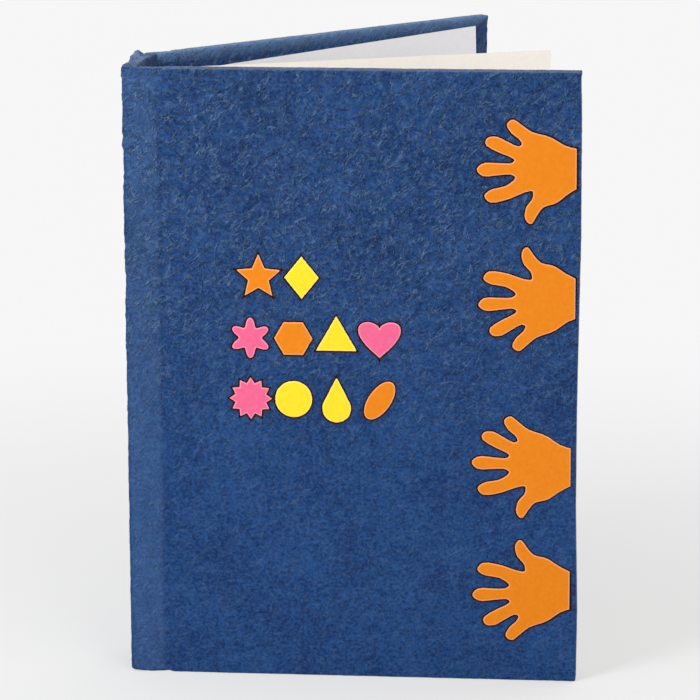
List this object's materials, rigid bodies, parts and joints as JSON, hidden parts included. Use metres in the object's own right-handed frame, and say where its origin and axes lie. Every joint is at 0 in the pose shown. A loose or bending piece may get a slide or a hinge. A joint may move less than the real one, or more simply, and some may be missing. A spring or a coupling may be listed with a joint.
{
  "type": "die-cut hardcover notebook",
  "caption": "Small hardcover notebook in crinkled blue paper, its front board die-cut with hands and plain figures over coloured card; covers and endpapers open on the spine.",
  "frame": {"origin": "on the floor under the middle of the standing notebook", "axes": "+Z from tail to head, +X from the spine to the front cover's fore-edge, +Y from the front cover to the back one"},
  "size_m": [0.1122, 0.1008, 0.154],
  "materials": {
    "blue_paper": "crinkled handmade paper, matt",
    "greyboard": "plain greyboard",
    "orange_card": "matt dyed card with a dark cut edge",
    "yellow_card": "matt dyed card with a dark cut edge",
    "pink_card": "matt dyed card with a dark cut edge",
    "cream_paper": "uncoated handmade paper",
    "white_paper": "uncoated cool white paper",
    "kraft_paper": "kraft lining paper",
    "gauze": "open cotton gauze, glued",
    "linen_tape": "woven linen tape",
    "linen_thread": "waxed linen thread"
  },
  "bodies": {
    "spine_and_block": {"spine_paper": "blue_paper", "spine_board": "greyboard", "spine_lining": "kraft_paper", "spine_gauze": "gauze", "sewing_tape_1": "linen_tape", "sewing_tape_2": "linen_tape", "kettle_stitch_tail": "linen_thread", "kettle_stitch_head": "linen_thread", "signature_8": "cream_paper"},
    "front_cover": {"front_cover_paper": "blue_paper", "front_diecut_card": "greyboard", "front_board": "greyboard", "front_pastedown": "cream_paper", "hand_inlay_1": "orange_card", "hand_inlay_2": "orange_card", "hand_inlay_3": "orange_card", "hand_inlay_4": "orange_card", "star_inlay": "orange_card", "diamond_inlay": "yellow_card", "flower_inlay": "pink_card", "hexagon_inlay": "orange_card", "triangle_inlay": "yellow_card", "heart_inlay": "pink_card", "burst_inlay": "pink_card", "disc_inlay": "yellow_card", "drop_inlay": "yellow_card", "leaf_inlay": "orange_card"},
    "back_cover": {"back_cover_paper": "blue_paper", "back_board": "greyboard", "back_pastedown": "white_paper"},
    "front_flyleaf": {"front_flyleaf": "cream_paper"},
    "back_flyleaf": {"back_flyleaf": "cream_paper"},
    "signature_1": {"signature_1": "cream_paper"},
    "signature_2": {"signature_2": "cream_paper"},
    "signature_3": {"signature_3": "cream_paper"},
    "signature_4": {"signature_4": "cream_paper"},
    "signature_5": {"signature_5": "cream_paper"},
    "signature_6": {"signature_6": "cream_paper"},
    "signature_7": {"signature_7": "cream_paper"}
  },
  "joints": [
    {"name": "front_cover_hinge", "type": "hinge", "parent": "spine_and_block", "child": "front_cover", "pos_m": [-0.05595, -0.05026, 0], "axis": [0, 0, 1], "range_deg": [-180, 0]},
    {"name": "back_cover_hinge", "type": "hinge", "parent": "spine_and_block", "child": "back_cover", "pos_m": [-0.05595, -0.02656, 0], "axis": [0, 0, 1], "range_deg": [-43.3, 136.5]},
    {"name": "front_flyleaf_turn", "type": "hinge", "parent": "spine_and_block", "child": "front_flyleaf", "pos_m": [-0.05158, -0.04434, 0], "axis": [0, 0, 1], "range_deg": [-90, 0]},
    {"name": "back_flyleaf_turn", "type": "hinge", "parent": "spine_and_block", "child": "back_flyleaf", "pos_m": [-0.05158, -0.03089, 0], "axis": [0, 0, 1], "range_deg": [-21.2, 66.6]},
    {"name": "signature_1_turn", "type": "hinge", "parent": "spine_and_block", "child": "signature_1", "pos_m": [-0.05104, -0.04326, 0], "axis": [0, 0, 1], "range_deg": [-36.1, 0]},
    {"name": "signature_2_turn", "type": "hinge", "parent": "spine_and_block", "child": "signature_2", "pos_m": [-0.05104, -0.04164, 0], "axis": [0, 0, 1], "range_deg": [-31, 0]},
    {"name": "signature_3_turn", "type": "hinge", "parent": "spine_and_block", "child": "signature_3", "pos_m": [-0.05104, -0.04003, 0], "axis": [0, 0, 1], "range_deg": [-25.8, 0]},
    {"name": "signature_4_turn", "type": "hinge", "parent": "spine_and_block", "child": "signature_4", "pos_m": [-0.05104, -0.03842, 0], "axis": [0, 0, 1], "range_deg": [-20.7, 0]},
    {"name": "signature_5_turn", "type": "hinge", "parent": "spine_and_block", "child": "signature_5", "pos_m": [-0.05104, -0.03681, 0], "axis": [0, 0, 1], "range_deg": [-15.5, 0]},
    {"name": "signature_6_turn", "type": "hinge", "parent": "spine_and_block", "child": "signature_6", "pos_m": [-0.05104, -0.03519, 0], "axis": [0, 0, 1], "range_deg": [-10.4, 0]},
    {"name": "signature_7_turn", "type": "hinge", "parent": "spine_and_block", "child": "signature_7", "pos_m": [-0.05104, -0.03358, 0], "axis": [0, 0, 1], "range_deg": [-5.2, 0]}
  ],
  "couplings": [
    {"joint": "front_flyleaf_turn", "follows": "front_cover_hinge", "ratio": 0.5},
    {"joint": "back_flyleaf_turn", "follows": "back_cover_hinge", "ratio": 0.4874},
    {"joint": "signature_1_turn", "follows": "front_cover_hinge", "ratio": 0.2},
    {"joint": "signature_2_turn", "follows": "front_cover_hinge", "ratio": 0.1714},
    {"joint": "signature_3_turn", "follows": "front_cover_hinge", "ratio": 0.1429},
    {"joint": "signature_4_turn", "follows": "front_cover_hinge", "ratio": 0.1143},
    {"joint": "signature_5_turn", "follows": "front_cover_hinge", "ratio": 0.0857},
    {"joint": "signature_6_turn", "follows": "front_cover_hinge", "ratio": 0.0571},
    {"joint": "signature_7_turn", "follows": "front_cover_hinge", "ratio": 0.0286}
  ]
}
